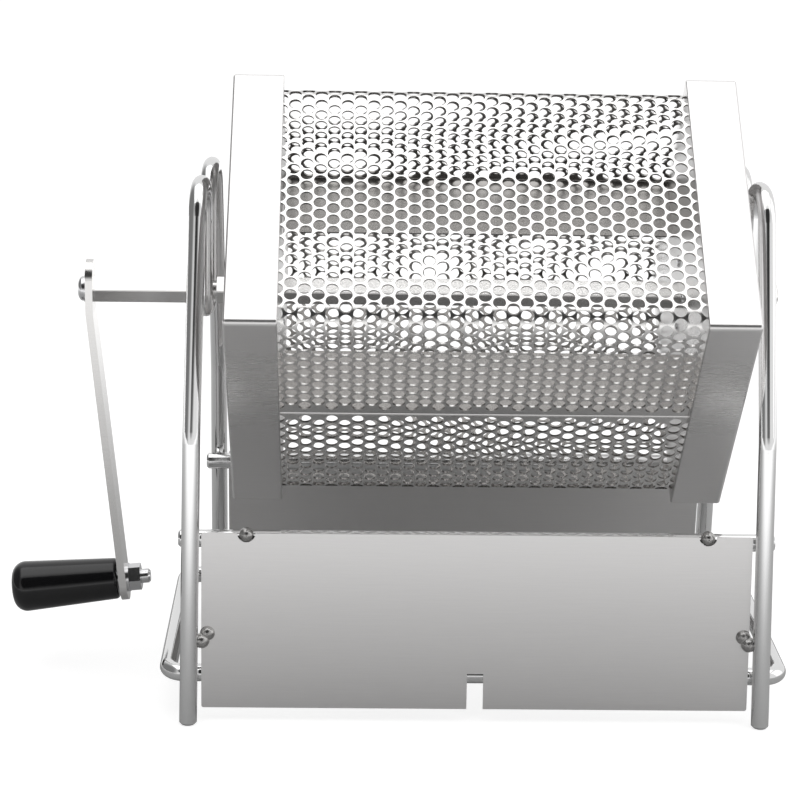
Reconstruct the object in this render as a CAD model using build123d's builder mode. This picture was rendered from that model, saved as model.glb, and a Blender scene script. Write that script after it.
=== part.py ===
from build123d import *
import math
import os

# A drum roaster for a stove top. The drum's axis runs along X, the crank is at -X, the
# front is -Y and +Z is up. The origin is on the ground under the middle of the whole.

# ---- driving dimensions, in millimetres and degrees ----

# the shaft's height, and the drum on it
axis_height = 161.0
drum_length = 201.2       # over the rims of the two end trays
drum_turn = 40.0          # how steeply the upper front wall rises at rest
drum_shift = 2.0          # the drum sits this much right of the stand's middle

# end trays, folded from sheet with their rims outwards
tray_side = 124.0
tray_rim = 20.3
tray_sheet = 0.8
tray_corner = 2.2
tray_bend = 0.6
hem_depth = 4.0
hem_thickness = 2.2       # the rim's edge is rolled inwards
hem_round = 1.05
hem_corner = 0.6

# perforated sheets of the drum's body
body_side = 119.5
body_sheet = 0.8
body_corner = 9.0
hole_diameter = 5.0
hole_column_step = 5.22   # from a column to the next, staggered one
hole_row_pitch = 5.55     # from hole to hole in a column
row_margin = 3.0          # from the ends of a sheet's flat to its rows of holes
seam_gap = 0.2
vane_depth = 30.0
vane_corner = 1.2

# drive shaft, a square bar
shaft_side = 8.0
shaft_edge = 0.4
shaft_right_reach = 122.5
journal_diameter = 7.6
journal_length = 9.0
tenon_side = 6.8
tenon_short = 0.2         # the tenon ends this much inside the arm's outer face

# hubs that hold the trays to the shaft
hub_flange = 25.0
hub_flange_thickness = 2.0
hub_collar = 14.0
hub_height = 10.0
hub_rivet_offset = 9.8
rivet_diameter = 3.0
rivet_head_diameter = 4.8
rivet_head_height = 1.4
rivet_tail_height = 0.9
grub_diameter = 4.0
grub_height = 6.0         # over the tray's plate
grub_proud = 0.2

# loading gate of the left tray, its rails and its knob
gate_length = 44.0
gate_width = 24.0
gate_sheet = 0.8
gate_travel = 40.0
gate_middle_u = 16.5      # along the way that the gate slides
gate_middle_v = 28.6
gate_overlap = 3.4        # how far the gate laps over the edge of its opening
gate_play = 0.25
gate_side_play = 0.3
opening_corner = 3.0
rail_foot = 3.3
rail_sheet = 0.8
rail_lap = 1.9            # how far a rail's lip reaches over the gate
rail_stop = 1.7
knob_diameter = 10.0
knob_stem = 6.0
knob_past_rim = 0.7
knob_head = 5.0
knob_round = 1.2
knob_spigot = 3.0

# bent wire of the stand
wire = 7.0
frame_x = 109.6           # a side frame's distance from the stand's middle, at the shaft
toe_in = 2.5              # the side frames come closer together towards the back
lean_in = 0.45            # and towards their tops
foot_y = 66.5
kink_y = 55.2
kink_height = 114.7
kink_radius = 30.0
hook_y = 32.5
hook_height = 208.0
hook_radius = 13.0
cradle_clearance = 0.05
cradle_flat = 0.02
foot_chamfer = 0.8

# crossbars and base ring, welded to the legs
crossbar_height = 72.6
crossbar_past_leg = 1.5
ring_height = 18.0
ring_arm_x = 122.4
ring_corner = 7.0
seat_gap = 0.02

# wind shields
shield_height = 71.0
shield_sheet = 0.8
shield_over_bar = 3.1
shield_side_gap = 0.7
shield_corner = 1.0
notch_width = 6.5
notch_height = 14.5
cutout_radius = 3.6
cutout_x = 91.0

# weld beads that hold the shields, two run together at each lower corner
bead_radius = 3.1
bead_below_bar = 37.5     # the upper bead of a corner
bead_inset = 2.4
bead_sunk = 0.9
second_bead_drop = 2.9    # the lower one, further out and forward
second_bead_inset = 0.2
second_bead_rise = 0.3
puddle_radius = 2.9       # in the cut-outs, on the crossbar
puddle_below_edge = 0.7
puddle_sunk = 0.3

# crank arm and its screw
arm_x = 156.3             # middle of the arm's thickness at the shaft
arm_width = 15.0
arm_thickness = 3.0
arm_over_axis = 12.1
arm_under_grip = 9.3
arm_bend_drop = 9.0       # from the shaft down to the arm's bend
arm_bend_radius = 12.0
arm_set = 5.8             # the arm leans in below its bend
crank_throw = 124.0       # from the shaft down to the grip's spindle
crank_screw_diameter = 5.0
crank_screw_length = 14.0
crank_head_diameter = 10.0
crank_head_height = 3.0
crank_washer_diameter = 11.0
crank_washer_thickness = 0.8
fit_clearance = 0.05

# grip and its spindle
grip_length = 44.1
grip_outer_diameter = 21.5
grip_arm_diameter = 17.0
grip_outer_round = 5.5
grip_arm_round = 1.5
grip_play = 0.2
grip_bore_clearance = 0.05
spindle_diameter = 6.0
spindle_collar_diameter = 10.0
spindle_collar_length = 0.5
spindle_head_diameter = 8.4
spindle_head_height = 4.0
cap_diameter = 9.4
cap_length = 5.0
cap_clearance = 1.0
grip_washer_diameter = 12.0
grip_washer_thickness = 1.0
grip_nut_flats = 10.0
grip_nut_height = 4.8
stud_past_nut = 3.9

# ---- values worked out from them ----

wire_radius = wire / 2
tray_plate_x = drum_length / 2 - tray_rim
plate_face_x = tray_plate_x + tray_sheet
leg_lean = math.atan((foot_y - kink_y) / kink_height)
arm_lean = math.radians(arm_set)
toe = math.radians(toe_in)
lean = math.radians(lean_in)
turn = math.radians(drum_turn)

# where the grip sits along its spindle, measured from the middle of the arm's thickness
grip_x = arm_x - (crank_throw - arm_bend_drop) * math.tan(arm_lean)
collar_end = arm_thickness / 2 + spindle_collar_length
grip_start = collar_end + grip_play
grip_end = grip_start + grip_length

# the whole is centred on the origin between the grip's end and the base ring
round_middle = grip_outer_diameter / 2 - grip_outer_round
left_reach = (
    grip_x
    + (grip_end - grip_outer_round) * math.cos(arm_lean)
    + round_middle * math.sin(arm_lean)
    + grip_outer_round
)
right_reach = ring_arm_x + wire_radius
stand_x = (left_reach - right_reach) / 2
drum_x = stand_x + drum_shift

# planes square to the shaft, with their axes along the drum's walls
along_wall = (0, math.cos(turn), math.sin(turn))
shaft_plane = Plane(origin=(stand_x, 0, axis_height), x_dir=along_wall, z_dir=(1, 0, 0))
drum_plane = Plane(origin=(drum_x, 0, axis_height), x_dir=along_wall, z_dir=(1, 0, 0))


def leg_y(height):
    # distance of a leg's middle from the stand's middle plane
    return foot_y - height * math.tan(leg_lean)


def frame_out(y, height):
    # distance of a side frame's plane from the stand's middle
    return frame_x - y * math.tan(toe) + (axis_height - height) * math.tan(lean)


def leg_x(side, height):
    # side is -1 for the front legs and 1 for the rear ones
    return frame_out(side * leg_y(height), height)


def bar_y(height):
    # a bar that touches the inner side of the legs
    return leg_y(height) - (wire + seat_gap) / math.cos(leg_lean)


def shield_plane(side):
    # origin in the middle of a crossbar, local y up along the legs, local z outwards
    origin = (stand_x, side * bar_y(crossbar_height), crossbar_height)
    outwards = (0, side * math.cos(leg_lean), math.sin(leg_lean))
    return Plane(origin=origin, x_dir=(-side, 0, 0), z_dir=outwards)


def finish(piece, label):
    piece.part.label = label
    export_step(piece.part, f"parts/{label}.step")


os.makedirs("parts", exist_ok=True)

# ---- stand ----


def side_frame(hand):
    # one wire bent to a front leg, hook, cradle, hook and rear leg; hand is -1 at the crank
    plane = Plane(
        origin=(stand_x + hand * frame_x, 0, axis_height),
        x_dir=(-hand * math.sin(toe), math.cos(toe), 0),
        z_dir=(math.cos(toe), hand * math.sin(toe), hand * math.cos(toe) * math.tan(lean)),
    )
    cradle = journal_diameter / 2 + cradle_clearance + wire_radius
    cradle_y = cradle * math.cos(toe)
    half = [
        (foot_y + wire * math.tan(leg_lean), -wire),
        (kink_y, kink_height),
        (hook_y, hook_height),
        (cradle_y, hook_height),
        (cradle_y, axis_height - cradle),
    ]
    other_half = [(-y, z) for y, z in reversed(half)]
    corners = [Vector(stand_x + hand * frame_out(y, z), y, z) for y, z in half + other_half]
    radii = [kink_radius, hook_radius, hook_radius, cradle - cradle_flat]
    with BuildPart() as frame:
        with BuildLine(plane) as route:
            FilletPolyline(corners, radius=radii + radii[::-1])
        with BuildSketch(Plane(origin=route.line @ 0, z_dir=route.line % 0)):
            Circle(wire_radius)
        sweep(path=route.line)
        split(bisect_by=Plane.XY, keep=Keep.TOP)
        chamfer(frame.faces().filter_by(Plane.XY).edges(), foot_chamfer)
    return frame


side_frame_left = side_frame(-1)
finish(side_frame_left, "side_frame_left")

side_frame_right = side_frame(1)
finish(side_frame_right, "side_frame_right")

with BuildPart() as base_ring:
    ring_y = bar_y(ring_height)
    with BuildLine(Plane((stand_x, 0, ring_height))) as route:
        FilletPolyline(
            (0, -ring_y),
            (-ring_arm_x, -ring_y),
            (-ring_arm_x, ring_y),
            (0, ring_y),
            radius=ring_corner,
        )
    with BuildSketch(Plane(origin=route.line @ 0, z_dir=route.line % 0)):
        Circle(wire_radius)
    sweep(path=route.line)
    mirror(about=Plane.YZ.offset(stand_x))
finish(base_ring, "base_ring")


def crossbar(side):
    reach = leg_x(side, crossbar_height) + wire_radius + crossbar_past_leg
    middle = Plane(shield_plane(side).origin, x_dir=(0, 1, 0), z_dir=(1, 0, 0))
    with BuildPart() as bar:
        with BuildSketch(middle):
            Circle(wire_radius)
        extrude(amount=reach, both=True)
        chamfer(bar.faces().filter_by(Axis.X).edges(), foot_chamfer)
    return bar


front_crossbar = crossbar(-1)
finish(front_crossbar, "front_crossbar")

rear_crossbar = crossbar(1)
finish(rear_crossbar, "rear_crossbar")


def shield_half_width(side):
    return leg_x(side, crossbar_height) - wire_radius - shield_side_gap


def wind_shield(side):
    bottom = shield_over_bar - shield_height
    with BuildPart() as shield:
        with BuildSketch(shield_plane(side).offset(wire_radius + seat_gap)):
            with Locations((0, (shield_over_bar + bottom) / 2)):
                RectangleRounded(2 * shield_half_width(side), shield_height, shield_corner)
            with Locations((0, bottom)):
                Rectangle(notch_width, 2 * notch_height, mode=Mode.SUBTRACT)
            with Locations((-cutout_x, shield_over_bar), (cutout_x, shield_over_bar)):
                Circle(cutout_radius, mode=Mode.SUBTRACT)
        extrude(amount=shield_sheet)
    return shield


front_shield = wind_shield(-1)
finish(front_shield, "front_shield")

rear_shield = wind_shield(1)
finish(rear_shield, "rear_shield")

with BuildPart() as shield_welds:
    for side in (-1, 1):
        face = shield_plane(side).offset(wire_radius + seat_gap + shield_sheet)
        edge = shield_half_width(side)
        upper_x = edge - bead_inset
        lower_x = edge - second_bead_inset
        lower_y = -bead_below_bar - second_bead_drop
        with Locations(face.offset(-bead_sunk)):
            with Locations((-upper_x, -bead_below_bar), (upper_x, -bead_below_bar)):
                Sphere(bead_radius)
        with Locations(face.offset(second_bead_rise)):
            with Locations((-lower_x, lower_y), (lower_x, lower_y)):
                Sphere(bead_radius)
        with Locations(face.offset(seat_gap - 2 * bead_radius)):
            with Locations((0, -bead_below_bar)):
                Box(3 * edge, 8 * bead_radius, 4 * bead_radius, mode=Mode.SUBTRACT)
        for hand in (-1, 1):
            low = Vector(stand_x + hand * leg_x(side, 0), side * leg_y(0), 0)
            high = Vector(
                stand_x + hand * leg_x(side, crossbar_height),
                side * leg_y(crossbar_height),
                crossbar_height,
            )
            with Locations(Plane(low, z_dir=high - low)):
                Cylinder(wire_radius + seat_gap, 2 * crossbar_height, mode=Mode.SUBTRACT)
        puddle_y = shield_over_bar - puddle_below_edge
        with Locations(shield_plane(side).offset(wire_radius - puddle_sunk)):
            with Locations((-cutout_x, puddle_y), (cutout_x, puddle_y)):
                Sphere(puddle_radius)
        with Locations(Plane(shield_plane(side).origin, z_dir=(1, 0, 0))):
            Cylinder(wire_radius + seat_gap, 2 * edge, mode=Mode.SUBTRACT)
finish(shield_welds, "shield_welds")


def domed_screw(diameter, length, head_diameter, head_height):
    # head upwards from the plane z = 0, with a socket for a hex key
    edge = 0.25 * head_height
    with BuildPart() as screw:
        with BuildSketch(Plane.XZ):
            with BuildLine():
                Polyline(
                    (0, head_height),
                    (0, -length),
                    (diameter / 2, -length),
                    (diameter / 2, 0),
                    (head_diameter / 2, 0),
                    (head_diameter / 2, edge),
                )
                EllipticalCenterArc((0, edge), head_diameter / 2, head_height - edge, 0, arc_size=90)
            make_face()
        revolve(axis=Axis.Z)
        with BuildSketch(Plane.XY.offset(head_height)):
            RegularPolygon(0.18 * head_diameter, 6, major_radius=False)
        extrude(amount=-0.55 * head_height, mode=Mode.SUBTRACT)
    return screw


# ---- drum ----

square_hole = shaft_side + 2 * fit_clearance

with BuildPart() as drive_shaft:
    shoulder_x = arm_x - arm_thickness / 2
    with BuildSketch(shaft_plane.offset(-shoulder_x)):
        Rectangle(shaft_side, shaft_side)
    extrude(amount=shoulder_x + shaft_right_reach)
    chamfer(drive_shaft.edges().filter_by(Axis.X), shaft_edge)
    chamfer(drive_shaft.faces().sort_by(Axis.X)[-1].edges(), shaft_edge)
    for hand in (-1, 1):
        with BuildSketch(shaft_plane.offset(hand * frame_x - journal_length / 2)):
            Rectangle(2 * shaft_side, 2 * shaft_side)
            Circle(journal_diameter / 2, mode=Mode.SUBTRACT)
        extrude(amount=journal_length, mode=Mode.SUBTRACT)
    with BuildSketch(shaft_plane.offset(-shoulder_x)):
        Rectangle(tenon_side, tenon_side)
    extrude(amount=tenon_short - arm_thickness)
    with BuildSketch(shaft_plane.offset(-shoulder_x - arm_thickness)):
        Circle(crank_screw_diameter / 2 + seat_gap)
    extrude(amount=crank_screw_length + 1, mode=Mode.SUBTRACT)
finish(drive_shaft, "drive_shaft")


def drum_sheet(half_turn):
    # a perforated U whose first edge turns in to a vane; the other sheet is the same one
    # turned half round
    half = body_side / 2
    edge = seam_gap / 2
    walls = Plane(
        origin=drum_plane.origin,
        x_dir=(0, math.cos(turn + half_turn), math.sin(turn + half_turn)),
        z_dir=(1, 0, 0),
    )
    with BuildLine(walls) as skin:
        FilletPolyline(
            (-half, -edge - vane_corner),
            (-half, -half),
            (half, -half),
            (half, -edge),
            radius=body_corner,
        )
    outline = skin.wire()
    row_step = hole_row_pitch / 2
    columns = 2 * math.ceil(tray_plate_x / hole_column_step)
    rows = int((outline.length - 2 * row_margin) / row_step) + 1
    hole_places = []
    for row in range(rows):
        way = row_margin + row * row_step
        point = outline.position_at(way, position_mode=PositionMode.LENGTH)
        along = outline.tangent_at(way, position_mode=PositionMode.LENGTH)
        for column in range(row % 2, columns, 2):
            x = (column - (columns - 1) / 2) * hole_column_step
            plane = Plane(point + Vector(x, 0, 0), x_dir=(1, 0, 0), z_dir=along.cross(Vector(1, 0, 0)))
            hole_places.append(plane)

    with BuildPart() as sheet:
        with BuildSketch(walls):
            with BuildLine():
                FilletPolyline(
                    (vane_depth - half, -edge),
                    (-half, -edge),
                    (-half, -half),
                    (half, -half),
                    (half, -edge),
                    radius=[vane_corner, body_corner, body_corner],
                )
                offset(amount=body_sheet, side=Side.LEFT, closed=True)
            make_face()
        extrude(amount=tray_plate_x, both=True)
        with Locations(hole_places):
            Cylinder(hole_diameter / 2, 3 * body_sheet, mode=Mode.SUBTRACT)
    return sheet


drum_sheet_lower = drum_sheet(0)
finish(drum_sheet_lower, "drum_sheet_lower")

drum_sheet_upper = drum_sheet(math.pi)
finish(drum_sheet_upper, "drum_sheet_upper")

rivet_points = [(u * hub_rivet_offset, v * hub_rivet_offset) for u in (-1, 1) for v in (-1, 1)]


def end_tray(hand):
    outwards = Axis((0, 0, 0), (hand, 0, 0))
    inner_side = tray_side - 2 * tray_sheet
    hem_side = tray_side - 2 * hem_thickness
    with BuildPart() as tray:
        with BuildSketch(drum_plane.offset(hand * tray_plate_x)):
            RectangleRounded(tray_side, tray_side, tray_corner)
        extrude(amount=hand * tray_rim)
        fillet(tray.faces().sort_by(outwards)[0].edges(), tray_bend)
        with BuildSketch(drum_plane.offset(hand * plate_face_x)):
            RectangleRounded(inner_side, inner_side, tray_corner - tray_sheet)
        extrude(amount=hand * (tray_rim - tray_sheet - hem_depth), mode=Mode.SUBTRACT)
        with BuildSketch(drum_plane.offset(hand * (drum_length / 2 - hem_depth))):
            RectangleRounded(hem_side, hem_side, hem_corner)
        extrude(amount=hand * hem_depth, mode=Mode.SUBTRACT)
        fillet(tray.faces().sort_by(outwards)[-1].edges(), hem_round)
        with BuildSketch(drum_plane.offset(hand * tray_plate_x)):
            Rectangle(square_hole, square_hole)
            with Locations(rivet_points):
                Circle(rivet_diameter / 2 + seat_gap)
        extrude(amount=hand * tray_sheet, mode=Mode.SUBTRACT)
    return tray


end_tray_right = end_tray(1)
finish(end_tray_right, "end_tray_right")

with BuildPart() as end_tray_left:
    add(end_tray(-1).part)
    with BuildSketch(drum_plane.offset(-tray_plate_x)):
        with Locations((gate_middle_u, gate_middle_v)):
            RectangleRounded(
                gate_length - 2 * gate_overlap, gate_width - 2 * gate_overlap, opening_corner
            )
    extrude(amount=-tray_sheet, mode=Mode.SUBTRACT)
finish(end_tray_left, "end_tray_left")


def hub(hand):
    with BuildPart() as body:
        with BuildSketch(drum_plane.offset(hand * plate_face_x)):
            RectangleRounded(hub_flange, hub_flange, hub_flange_thickness)
            with Locations(rivet_points):
                Circle(rivet_diameter / 2 + seat_gap, mode=Mode.SUBTRACT)
        extrude(amount=hand * hub_flange_thickness)
        with BuildSketch(drum_plane.offset(hand * plate_face_x)):
            RectangleRounded(hub_collar, hub_collar, hub_flange_thickness)
        extrude(amount=hand * hub_height)
        with BuildSketch(drum_plane.offset(hand * plate_face_x)):
            Rectangle(square_hole, square_hole)
        extrude(amount=hand * hub_height, mode=Mode.SUBTRACT)
        with BuildSketch(grub_plane(hand)):
            Circle(grub_diameter / 2 + seat_gap)
        extrude(amount=hub_collar, mode=Mode.SUBTRACT)
    return body


def grub_plane(hand):
    # at the shaft's axis, looking out along a wall of the collar
    centre = drum_plane.origin + Vector(hand * (plate_face_x + grub_height), 0, 0)
    return Plane(centre, x_dir=(1, 0, 0), z_dir=along_wall)


hub_left = hub(-1)
finish(hub_left, "hub_left")

hub_right = hub(1)
finish(hub_right, "hub_right")

with BuildPart() as rivet:
    stack = tray_sheet + hub_flange_thickness
    with BuildSketch():
        Circle(rivet_diameter / 2)
    extrude(amount=stack)
    with BuildSketch():
        Circle(rivet_head_diameter / 2)
    extrude(amount=-rivet_tail_height)
    fillet(rivet.faces().sort_by(Axis.Z)[0].edges(), 0.8 * rivet_tail_height)
    with BuildSketch(Plane.XY.offset(stack)):
        Circle(rivet_head_diameter / 2)
    extrude(amount=rivet_head_height)
    fillet(rivet.faces().sort_by(Axis.Z)[-1].edges(), 0.8 * rivet_head_height)

with BuildPart() as hub_rivets:
    for hand in (-1, 1):
        face = drum_plane.offset(hand * tray_plate_x)
        for point in rivet_points:
            with Locations(Plane(face.from_local_coords(point), z_dir=(hand, 0, 0))):
                add(rivet.part)
finish(hub_rivets, "hub_rivets")

with BuildPart() as hub_set_screws:
    for hand in (-1, 1):
        with BuildSketch(grub_plane(hand).offset(shaft_side / 2 + seat_gap)):
            Circle(grub_diameter / 2)
        extrude(amount=(hub_collar - shaft_side) / 2 + grub_proud)
        with BuildSketch(grub_plane(hand).offset(hub_collar / 2 + grub_proud)):
            RegularPolygon(grub_diameter / 4, 6, major_radius=False)
        extrude(amount=-(hub_collar - shaft_side) / 4, mode=Mode.SUBTRACT)
finish(hub_set_screws, "hub_set_screws")

# ---- loading gate of the left tray ----

gate_inner_x = plate_face_x + gate_play
gate_outer_x = gate_inner_x + gate_sheet
rail_lip_x = gate_outer_x + gate_play
rail_v = gate_width / 2 + gate_side_play
rail_low = gate_middle_u - gate_length / 2 - gate_travel - gate_side_play - rail_stop
rail_high = gate_middle_u + gate_length / 2 + gate_side_play + rail_stop


def rail_profile():
    # foot, riser and lip of the rail above the gate, in the plane across the rails
    Polyline(
        (0, 0),
        (rail_foot, 0),
        (rail_foot, rail_sheet),
        (rail_sheet, rail_sheet),
        (rail_sheet, rail_lip_x - plate_face_x + rail_sheet),
        (-rail_lap, rail_lip_x - plate_face_x + rail_sheet),
        (-rail_lap, rail_lip_x - plate_face_x),
        (0, rail_lip_x - plate_face_x),
        (0, 0),
    )


rail_length = rail_high - rail_low
rail_middle = drum_plane.offset(-plate_face_x).from_local_coords(((rail_low + rail_high) / 2, gate_middle_v))
with BuildPart() as slide_rails:
    for side in (-1, 1):
        across = Vector(0, -math.sin(turn), math.cos(turn)) * side
        section = Plane(rail_middle + across * rail_v, x_dir=across, z_dir=across.cross(Vector(-1, 0, 0)))
        with BuildSketch(section):
            with BuildLine():
                rail_profile()
            make_face()
        extrude(amount=rail_length / 2, both=True)
        for end in (-1, 1):
            with BuildSketch(section.offset(end * (rail_length - rail_stop) / 2)):
                with Locations((-rail_lap / 2, (rail_lip_x - plate_face_x) / 2)):
                    Rectangle(rail_lap, rail_lip_x - plate_face_x)
            extrude(amount=rail_stop / 2, both=True)
finish(slide_rails, "slide_rails")

gate_middle = (gate_middle_u, gate_middle_v)
knob_height = drum_length / 2 + knob_past_rim - gate_outer_x
with BuildPart() as loading_slide:
    with BuildSketch(drum_plane.offset(-gate_inner_x)):
        with Locations(gate_middle):
            RectangleRounded(gate_length, gate_width, shield_corner)
            Circle(knob_spigot / 2 + seat_gap, mode=Mode.SUBTRACT)
    extrude(amount=-gate_sheet)
finish(loading_slide, "loading_slide")

with BuildPart() as slide_knob:
    knob_plane = Plane(drum_plane.offset(-gate_inner_x).from_local_coords(gate_middle), z_dir=(-1, 0, 0))
    with BuildSketch(knob_plane):
        Circle(knob_spigot / 2)
    extrude(amount=gate_sheet)
    with BuildSketch(knob_plane.offset(gate_sheet)):
        Circle(knob_stem / 2)
    extrude(amount=knob_height)
    with BuildSketch(knob_plane.offset(gate_sheet + knob_height - knob_head)):
        Circle(knob_diameter / 2)
    extrude(amount=knob_head)
    fillet(slide_knob.edges().filter_by(GeomType.CIRCLE).sort_by(Edge.radius)[-2:], knob_round)
finish(slide_knob, "slide_knob")

# ---- crank ----

lower_end = crank_throw + arm_under_grip
bend_z = axis_height - arm_bend_drop
end_x = stand_x - arm_x + (lower_end - arm_bend_drop) * math.tan(arm_lean)

# at the middle of the arm's thickness, local z along the spindle towards the grip
grip_plane = Plane(
    origin=(stand_x - grip_x, 0, axis_height - crank_throw),
    x_dir=(0, 1, 0),
    z_dir=(-math.cos(arm_lean), 0, -math.sin(arm_lean)),
)
grip_section = Plane(grip_plane.origin, x_dir=grip_plane.x_dir, z_dir=-grip_plane.y_dir)

with BuildPart() as crank_arm:
    with BuildSketch(Plane.XZ):
        with BuildLine() as route:
            FilletPolyline(
                (stand_x - arm_x, axis_height + arm_over_axis),
                (stand_x - arm_x, bend_z),
                (end_x, axis_height - lower_end),
                radius=arm_bend_radius,
            )
        trace(route.line, arm_thickness)
    extrude(amount=arm_width / 2, both=True)
    ends = crank_arm.edges().filter_by(lambda edge: abs(edge.length - arm_thickness) < 0.01)
    fillet(ends, arm_width / 2 - seat_gap)
    with BuildSketch(shaft_plane.offset(-arm_x - arm_thickness)):
        Rectangle(tenon_side + 2 * fit_clearance, tenon_side + 2 * fit_clearance)
    extrude(amount=2 * arm_thickness, mode=Mode.SUBTRACT)
    with BuildSketch(grip_plane.offset(-arm_thickness)):
        Circle(spindle_diameter / 2 + fit_clearance)
    extrude(amount=2 * arm_thickness, mode=Mode.SUBTRACT)
finish(crank_arm, "crank_arm")

arm_face_plane = Plane((stand_x - arm_x - arm_thickness / 2, 0, axis_height), z_dir=(-1, 0, 0))

with BuildPart() as crank_washer:
    with BuildSketch(arm_face_plane):
        Circle(crank_washer_diameter / 2)
        Circle(crank_screw_diameter / 2 + fit_clearance, mode=Mode.SUBTRACT)
    extrude(amount=crank_washer_thickness)
finish(crank_washer, "crank_washer")

screw_in_crank = domed_screw(
    crank_screw_diameter, crank_screw_length, crank_head_diameter, crank_head_height
)
with BuildPart() as crank_screw:
    with Locations(arm_face_plane.offset(crank_washer_thickness)):
        add(screw_in_crank.part)
finish(crank_screw, "crank_screw")

# ---- grip ----

cap_start = grip_end - cap_length
head_start = cap_start - cap_clearance - spindle_head_height
nut_start = arm_thickness / 2 + grip_washer_thickness
spindle_radius = spindle_diameter / 2

with BuildPart() as grip_spindle:
    with BuildSketch(grip_plane.offset(-nut_start - grip_nut_height - stud_past_nut)):
        Circle(spindle_radius)
    extrude(amount=nut_start + grip_nut_height + stud_past_nut + head_start)
    chamfer(grip_spindle.faces().sort_by(Axis.X)[-1].edges(), spindle_radius / 4)
    with BuildSketch(grip_plane.offset(arm_thickness / 2)):
        Circle(spindle_collar_diameter / 2)
    extrude(amount=spindle_collar_length)
    with BuildSketch(grip_plane.offset(head_start)):
        Circle(spindle_head_diameter / 2)
    extrude(amount=spindle_head_height)
finish(grip_spindle, "grip_spindle")

with BuildPart() as grip_washer:
    with BuildSketch(grip_plane.offset(-arm_thickness / 2)):
        Circle(grip_washer_diameter / 2)
        Circle(spindle_radius + fit_clearance, mode=Mode.SUBTRACT)
    extrude(amount=-grip_washer_thickness)
finish(grip_washer, "grip_washer")

with BuildPart() as grip_nut:
    with BuildSketch(grip_plane.offset(-nut_start)):
        RegularPolygon(grip_nut_flats / 2, 6, major_radius=False)
        Circle(spindle_radius + seat_gap, mode=Mode.SUBTRACT)
    extrude(amount=-grip_nut_height)
finish(grip_nut, "grip_nut")

with BuildPart() as grip:
    bore = spindle_radius + grip_bore_clearance
    with BuildSketch(grip_section):
        with BuildLine():
            Polyline(
                (bore, grip_start),
                (grip_arm_diameter / 2, grip_start),
                (grip_outer_diameter / 2, grip_end),
                (cap_diameter / 2, grip_end),
                (cap_diameter / 2, head_start - grip_play),
                (bore, head_start - grip_play),
                (bore, grip_start),
            )
        make_face()
    revolve(axis=Axis(grip_plane.origin, grip_plane.z_dir))
    rims = grip.edges().filter_by(GeomType.CIRCLE).sort_by(Edge.radius)
    fillet(rims[-1], grip_outer_round)
    fillet(rims[-2], grip_arm_round)
finish(grip, "grip")

with BuildPart() as grip_cap:
    with BuildSketch(grip_plane.offset(cap_start)):
        Circle(cap_diameter / 2)
    extrude(amount=cap_length)
    chamfer(grip_cap.faces().sort_by(Axis.X)[0].edges(), cap_length / 10)
finish(grip_cap, "grip_cap")
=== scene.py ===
import math
import bmesh
import bpy
from mathutils import Matrix, Vector

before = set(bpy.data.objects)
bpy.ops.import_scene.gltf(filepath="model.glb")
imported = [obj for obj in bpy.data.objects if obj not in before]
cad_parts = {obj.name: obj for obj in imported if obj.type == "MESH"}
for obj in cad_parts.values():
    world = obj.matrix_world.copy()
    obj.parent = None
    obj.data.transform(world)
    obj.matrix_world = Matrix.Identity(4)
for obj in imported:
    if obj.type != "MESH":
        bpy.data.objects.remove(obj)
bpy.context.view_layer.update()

# The axes follow the model: the crank is at -X, the front is -Y, +Z is up. Metres everywhere.
mm = 0.001
standX = 32.670 * mm      # the stand's middle, pushed off centre by the grip at one side
shaftZ = 161 * mm

scene = bpy.context.scene
scene.view_settings.view_transform = "Standard"

# camera: a long lens from a little above, turned by a degree

camera = {
    "lens": 107.5,
    "sensor": 36,
    "nearest": 0.05,
    "distance": 0.9826,
    "aim": (standX - 30.2 * mm, 0.0, shaftZ - 45.6 * mm),
    "down": 15.54,
    "yaw": 1.38,
    "roll": 0.95,
}


def makeCamera(c):
    down, yaw, roll = (math.radians(c[k]) for k in ("down", "yaw", "roll"))
    look = Vector((math.sin(yaw) * math.cos(down), math.cos(yaw) * math.cos(down), -math.sin(down)))
    level = Vector((math.cos(yaw), -math.sin(yaw), 0))
    right = math.cos(roll) * level + math.sin(roll) * level.cross(look)
    up = right.cross(look)
    cam = bpy.data.objects.new("camera", bpy.data.cameras.new("camera"))
    cam.data.lens = c["lens"]
    cam.data.sensor_width = c["sensor"]
    cam.data.clip_start = c["nearest"]
    place = Vector(c["aim"]) - look * c["distance"]
    cam.matrix_world = Matrix.Translation(place) @ Matrix((right, up, -look)).transposed().to_4x4()
    scene.collection.objects.link(cam)
    scene.camera = cam


makeCamera(camera)
print("camera set")


# helpers for shader nodes; the mix node's colours are told apart by their numbers alone

firstColour, secondColour, mixedColour = 6, 7, 2


def newMaterial(name):
    mat = bpy.data.materials.new(name)
    mat.use_nodes = True
    mat.node_tree.nodes.clear()
    return mat, mat.node_tree


def addNode(tree, kind, **values):
    made = tree.nodes.new(kind)
    for key, value in values.items():
        if key in made.inputs:
            made.inputs[key].default_value = value
        else:
            setattr(made, key, value)
    return made


def newGroup(name, ins, outs):
    group = bpy.data.node_groups.new(name, "ShaderNodeTree")
    for label, kind, value in ins:
        group.interface.new_socket(label, in_out="INPUT", socket_type=kind).default_value = value
    for label, kind in outs:
        group.interface.new_socket(label, in_out="OUTPUT", socket_type=kind)
    return group, group.nodes.new("NodeGroupInput"), group.nodes.new("NodeGroupOutput")


# rolling lines of sheet, bar and wire, and the cloudy changes in their polish; both together
# set how rough the metal is, the clouds in full and the lines by their share

polishing = {"lines": 0.35, "from": 0.3, "to": 0.95}
grainDepth = 0.2 * mm


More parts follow.
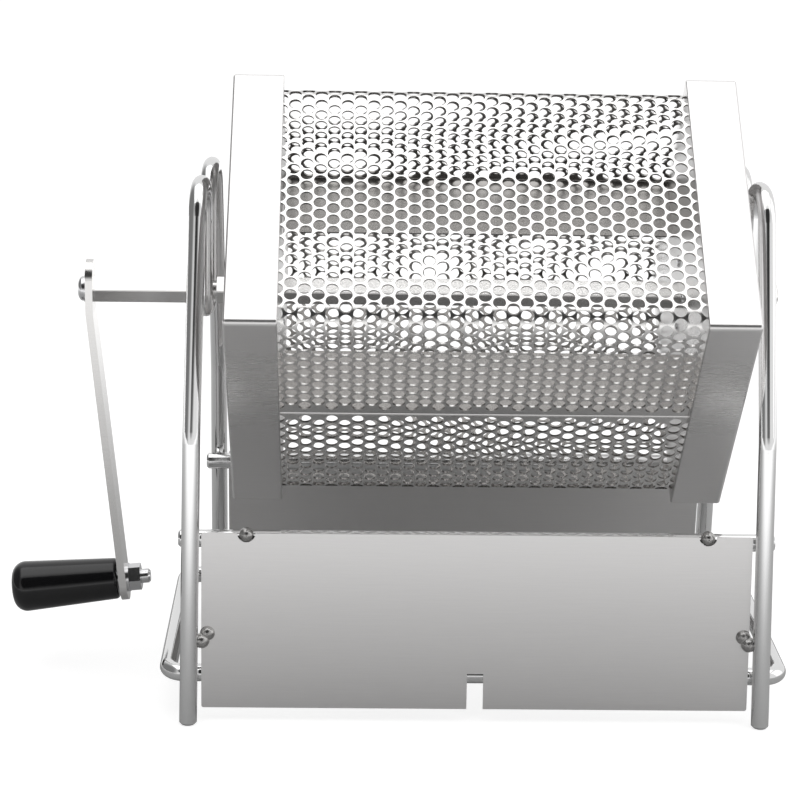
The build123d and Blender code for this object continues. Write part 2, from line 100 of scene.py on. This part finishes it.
def makeRollingGrain():
    group, given, made = newGroup(
        "rollingGrain",
        [("Vector", "NodeSocketVector", (0, 0, 0)), ("Fine", "NodeSocketFloat", 900.0),
         ("Broad", "NodeSocketFloat", 14.0)],
        [("Lines", "NodeSocketFloat"), ("Clouds", "NodeSocketFloat")],
    )
    lines = addNode(group, "ShaderNodeTexNoise", Detail=3.0, Roughness=0.6)
    clouds = addNode(group, "ShaderNodeTexNoise", Detail=2.0, Roughness=0.5)
    for noise, scale, out in ((lines, "Fine", "Lines"), (clouds, "Broad", "Clouds")):
        group.links.new(given.outputs["Vector"], noise.inputs["Vector"])
        group.links.new(given.outputs[scale], noise.inputs["Scale"])
        group.links.new(noise.outputs["Fac"], made.inputs[out])
    return group


rollingGrain = makeRollingGrain()


def paintInsideShade(tree, coords, colour, insideShade):
    # painted shade: the walls of the holes and the faces that look at the shaft get a darker colour,
    # standing in for the shade inside the drum
    fromShaft = addNode(tree, "ShaderNodeVectorMath", operation="SUBTRACT")
    fromShaft.inputs[1].default_value = (0, 0, shaftZ)
    across = addNode(tree, "ShaderNodeVectorMath", operation="MULTIPLY")
    across.inputs[1].default_value = (0, 1, 1)
    facing = addNode(tree, "ShaderNodeVectorMath", operation="DOT_PRODUCT")
    inner = addNode(tree, "ShaderNodeMath", operation="LESS_THAN")
    inner.inputs[1].default_value = insideShade["facing"]
    shadedInside = addNode(tree, "ShaderNodeMix", data_type="RGBA", blend_type="MULTIPLY")
    shadedInside.inputs[secondColour].default_value = tuple(insideShade["share"] * v for v in insideShade["tint"]) + (1,)
    links = tree.links
    links.new(coords.outputs["Object"], fromShaft.inputs[0])
    links.new(fromShaft.outputs[0], across.inputs[0])
    links.new(across.outputs[0], facing.inputs[0])
    links.new(coords.outputs["Normal"], facing.inputs[1])
    links.new(facing.outputs["Value"], inner.inputs[0])
    links.new(inner.outputs[0], shadedInside.inputs[0])
    links.new(colour, shadedInside.inputs[firstColour])
    return shadedInside.outputs[mixedColour]


def makeMetal(name, look):
    mat, tree = newMaterial(name)
    coords = addNode(tree, "ShaderNodeTexCoord")
    stretched = addNode(tree, "ShaderNodeMapping", Scale=look["scale"])
    grain = addNode(tree, "ShaderNodeGroup", node_tree=rollingGrain)
    grain.inputs["Fine"].default_value = look["fine"]
    grain.inputs["Broad"].default_value = look["broad"]
    polish = addNode(tree, "ShaderNodeMapRange")
    tone = addNode(tree, "ShaderNodeMix", data_type="RGBA")
    mixed = addNode(tree, "ShaderNodeMath", operation="MULTIPLY_ADD")
    bump = addNode(tree, "ShaderNodeBump", Strength=look["bump"], Distance=grainDepth)
    metal = addNode(tree, "ShaderNodeBsdfPrincipled", Metallic=1.0)
    out = addNode(tree, "ShaderNodeOutputMaterial")
    dark = tuple(v * look["shade"] for v in look["tone"])
    tone.inputs[firstColour].default_value = dark + (1,)
    tone.inputs[secondColour].default_value = look["tone"] + (1,)
    mixed.inputs[1].default_value = polishing["lines"]
    polish.inputs["From Min"].default_value = polishing["from"]
    polish.inputs["From Max"].default_value = polishing["to"]
    polish.inputs["To Min"].default_value = look["rough"][0]
    polish.inputs["To Max"].default_value = look["rough"][1]
    links = tree.links
    links.new(coords.outputs["Object"], stretched.inputs["Vector"])
    links.new(stretched.outputs["Vector"], grain.inputs["Vector"])
    links.new(grain.outputs["Lines"], mixed.inputs[0])
    links.new(grain.outputs["Clouds"], mixed.inputs[2])
    links.new(mixed.outputs[0], polish.inputs["Value"])
    links.new(grain.outputs["Lines"], tone.inputs[0])
    links.new(grain.outputs["Lines"], bump.inputs["Height"])
    links.new(polish.outputs["Result"], metal.inputs["Roughness"])
    colour = tone.outputs[mixedColour]
    # painted shade on the faces that look inward at the shaft
    if "inside" in look:
        colour = paintInsideShade(tree, coords, colour, look["inside"])
    links.new(colour, metal.inputs["Base Color"])
    links.new(bump.outputs["Normal"], metal.inputs["Normal"])
    links.new(metal.outputs["BSDF"], out.inputs["Surface"])
    return mat


satinSheet = makeMetal("satinSheet", {
    "tone": (0.80, 0.79, 0.785), "shade": 0.93, "rough": (0.24, 0.36),
    "scale": (0.03, 1, 1), "fine": 2200.0, "broad": 9.0, "bump": 0.08,
})
punchedSheet = makeMetal("punchedSheet", {
    "tone": (0.82, 0.81, 0.80), "shade": 0.92, "rough": (0.16, 0.28),
    "scale": (0.05, 1, 1), "fine": 1800.0, "broad": 16.0, "bump": 0.06,
    "inside": {"share": 0.42, "tint": (1, 0.98, 0.96), "facing": 5 * mm},
})
brightBar = makeMetal("brightBar", {
    "tone": (0.80, 0.79, 0.78), "shade": 0.93, "rough": (0.14, 0.26),
    "scale": (0.05, 1, 1), "fine": 1600.0, "broad": 20.0, "bump": 0.05,
})
brightWire = makeMetal("brightWire", {
    "tone": (0.84, 0.84, 0.84), "shade": 0.97, "rough": (0.05, 0.12),
    "scale": (1, 1, 0.04), "fine": 900.0, "broad": 25.0, "bump": 0.03,
})
platedSteel = makeMetal("platedSteel", {
    "tone": (0.76, 0.76, 0.77), "shade": 0.88, "rough": (0.10, 0.26),
    "scale": (1, 1, 1), "fine": 700.0, "broad": 60.0, "bump": 0.05,
})
weldMetal = makeMetal("weldMetal", {
    "tone": (0.62, 0.61, 0.60), "shade": 0.35, "rough": (0.10, 0.34),
    "scale": (1, 1, 1), "fine": 420.0, "broad": 240.0, "bump": 0.9,
})


def makeBlackPlastic(look):
    mat, tree = newMaterial("blackPlastic")
    coords = addNode(tree, "ShaderNodeTexCoord")
    peel = addNode(tree, "ShaderNodeTexNoise", Scale=look["peel"], Detail=2.0)
    rub = addNode(tree, "ShaderNodeTexNoise", Scale=look["rub"], Detail=4.0)
    rough = addNode(tree, "ShaderNodeMapRange")
    rough.inputs["To Min"].default_value = look["rough"][0]
    rough.inputs["To Max"].default_value = look["rough"][1]
    bump = addNode(tree, "ShaderNodeBump", Strength=look["bump"], Distance=look["depth"])
    plastic = addNode(tree, "ShaderNodeBsdfPrincipled")
    plastic.inputs["Base Color"].default_value = look["tone"] + (1,)
    out = addNode(tree, "ShaderNodeOutputMaterial")
    links = tree.links
    links.new(coords.outputs["Object"], peel.inputs["Vector"])
    links.new(coords.outputs["Object"], rub.inputs["Vector"])
    links.new(rub.outputs["Fac"], rough.inputs["Value"])
    links.new(peel.outputs["Fac"], bump.inputs["Height"])
    links.new(rough.outputs["Result"], plastic.inputs["Roughness"])
    links.new(bump.outputs["Normal"], plastic.inputs["Normal"])
    links.new(plastic.outputs["BSDF"], out.inputs["Surface"])
    return mat


blackPlastic = makeBlackPlastic({
    "tone": (0.008, 0.008, 0.009), "peel": 260.0, "rub": 90.0, "rough": (0.06, 0.2), "bump": 0.06,
    "depth": 0.4 * mm,
})
print("materials made")


# the model's own pieces and their finishes

def dress(names, mat):
    for name in names:
        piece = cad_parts[name]
        piece.data.materials.clear()
        piece.data.materials.append(mat)


dress(["front_shield", "rear_shield", "end_tray_left", "end_tray_right",
       "loading_slide", "slide_rails"], satinSheet)
dress(["drum_sheet_upper", "drum_sheet_lower"], punchedSheet)
dress(["drive_shaft", "crank_arm", "hub_left", "hub_right"], brightBar)
dress(["hub_rivets", "hub_set_screws", "crank_screw", "crank_washer", "grip_spindle", "grip_washer",
       "grip_nut", "slide_knob"], platedSteel)
dress(["shield_welds"], weldMetal)
dress(["grip", "grip_cap"], blackPlastic)
dress(["side_frame_left", "side_frame_right", "base_ring", "front_crossbar", "rear_crossbar"],
      brightWire)
print("model dressed")


# floor, lamps and sky

# the metal mirrors a floor whose glow is dim close to the object and pale further out, and further
# still at the sides, a painted shadow of the object; the camera sees it pale all over, with the
# object's shadow on it

studio = {
    "size": (3, 2.4), "back": 0.9, "drop": 0.2 * mm,
    "tone": 0.40, "rough": 0.7, "lift": 0.80,
    "dim": 0.05, "pale": 0.95, "near": 0.12, "far": 0.85, "sideways": 0.5,
}


def makeFloor(s):
    bm = bmesh.new()
    bmesh.ops.create_grid(bm, x_segments=1, y_segments=1, size=1.0)
    bmesh.ops.scale(bm, vec=s["size"] + (1,), verts=bm.verts)
    bmesh.ops.translate(bm, vec=(0, s["back"], -s["drop"]), verts=bm.verts)
    mesh = bpy.data.meshes.new("floor")
    bm.to_mesh(mesh)
    bm.free()
    floor = bpy.data.objects.new("floor", mesh)
    scene.collection.objects.link(floor)
    mat, tree = newMaterial("paleFloor")
    coords = addNode(tree, "ShaderNodeTexCoord")
    wide = addNode(tree, "ShaderNodeMapping", Scale=(s["sideways"], 1, 1))
    away = addNode(tree, "ShaderNodeVectorMath", operation="LENGTH")
    # painted shadow: the floor's glow for glossy rays is weaker close to the object
    paintedShadow = addNode(tree, "ShaderNodeMapRange", interpolation_type="SMOOTHSTEP")
    paintedShadow.inputs["From Min"].default_value = s["near"]
    paintedShadow.inputs["From Max"].default_value = s["far"]
    paintedShadow.inputs["To Min"].default_value = s["dim"]
    paintedShadow.inputs["To Max"].default_value = s["pale"]
    rays = addNode(tree, "ShaderNodeLightPath")
    seen = addNode(tree, "ShaderNodeMath", operation="MULTIPLY")
    seen.inputs[1].default_value = s["lift"]
    glossy = addNode(tree, "ShaderNodeMath", operation="MULTIPLY_ADD")
    pale = addNode(tree, "ShaderNodeBsdfPrincipled", Roughness=s["rough"])
    pale.inputs["Base Color"].default_value = (s["tone"],) * 3 + (1,)
    pale.inputs["Emission Color"].default_value = (1, 1, 1, 1)
    pale.inputs["Specular IOR Level"].default_value = 0.0
    out = addNode(tree, "ShaderNodeOutputMaterial")
    links = tree.links
    links.new(coords.outputs["Object"], wide.inputs["Vector"])
    links.new(wide.outputs["Vector"], away.inputs[0])
    links.new(away.outputs["Value"], paintedShadow.inputs["Value"])
    links.new(rays.outputs["Is Camera Ray"], seen.inputs[0])
    links.new(rays.outputs["Is Glossy Ray"], glossy.inputs[0])
    links.new(paintedShadow.outputs["Result"], glossy.inputs[1])
    links.new(seen.outputs[0], glossy.inputs[2])
    links.new(glossy.outputs[0], pale.inputs["Emission Strength"])
    links.new(pale.outputs["BSDF"], out.inputs["Surface"])
    floor.data.materials.append(mat)


makeFloor(studio)

lampAim = (0, 0, 0.12)
softboxes = {
    "above": {"place": (0.0, -0.1, 1.5), "size": (2.0, 1.6), "power": 9.0},
    "right": {"place": (1.5, -0.1, 0.8), "size": (1.2, 1.4), "power": 3.0},
}


def makeSoftboxes(boxes):
    for name, b in boxes.items():
        lamp = bpy.data.lights.new(name, "AREA")
        lamp.shape = "RECTANGLE"
        lamp.size, lamp.size_y = b["size"]
        lamp.energy = b["power"]
        holder = bpy.data.objects.new(name, lamp)
        towards = Vector(lampAim) - Vector(b["place"])
        facing = towards.to_track_quat("-Z", "Y").to_matrix().to_4x4()
        holder.matrix_world = Matrix.Translation(b["place"]) @ facing
        scene.collection.objects.link(holder)


makeSoftboxes(softboxes)

# pale walls, the unlit side of the room above and behind the camera, and a dim one at the left

room = {
    "walls": 0.85,
    "front": {"towards": (0.0, -0.80, 0.60), "from": 0.79, "to": 0.93, "shade": 0.03},
    "left": {"towards": (-0.98, 0.0, 0.2), "from": 0.45, "to": 0.85, "shade": 0.20},
}


def makeRoom(r):
    world = bpy.data.worlds.new("room")
    world.use_nodes = True
    tree = world.node_tree
    tree.nodes.clear()
    links = tree.links
    coords = addNode(tree, "ShaderNodeTexCoord")
    dimmest = addNode(tree, "ShaderNodeMath", operation="MINIMUM")
    for slot, side in enumerate((r["front"], r["left"])):
        facing = addNode(tree, "ShaderNodeVectorMath", operation="DOT_PRODUCT")
        facing.inputs[1].default_value = side["towards"]
        ramp = addNode(tree, "ShaderNodeMapRange", interpolation_type="SMOOTHSTEP")
        ramp.inputs["From Min"].default_value = side["from"]
        ramp.inputs["From Max"].default_value = side["to"]
        ramp.inputs["To Min"].default_value = r["walls"]
        ramp.inputs["To Max"].default_value = side["shade"]
        links.new(coords.outputs["Generated"], facing.inputs[0])
        links.new(facing.outputs["Value"], ramp.inputs["Value"])
        links.new(ramp.outputs["Result"], dimmest.inputs[slot])
    rays = addNode(tree, "ShaderNodeLightPath")
    seen = addNode(tree, "ShaderNodeMath", operation="MAXIMUM")
    sky = addNode(tree, "ShaderNodeBackground")
    out = addNode(tree, "ShaderNodeOutputWorld")
    links.new(rays.outputs["Is Camera Ray"], seen.inputs[0])
    links.new(dimmest.outputs[0], seen.inputs[1])
    links.new(seen.outputs[0], sky.inputs["Strength"])
    links.new(sky.outputs["Background"], out.inputs["Surface"])
    sky.inputs["Color"].default_value = (1, 1, 1, 1)
    scene.world = world


makeRoom(room)
print("studio lit")
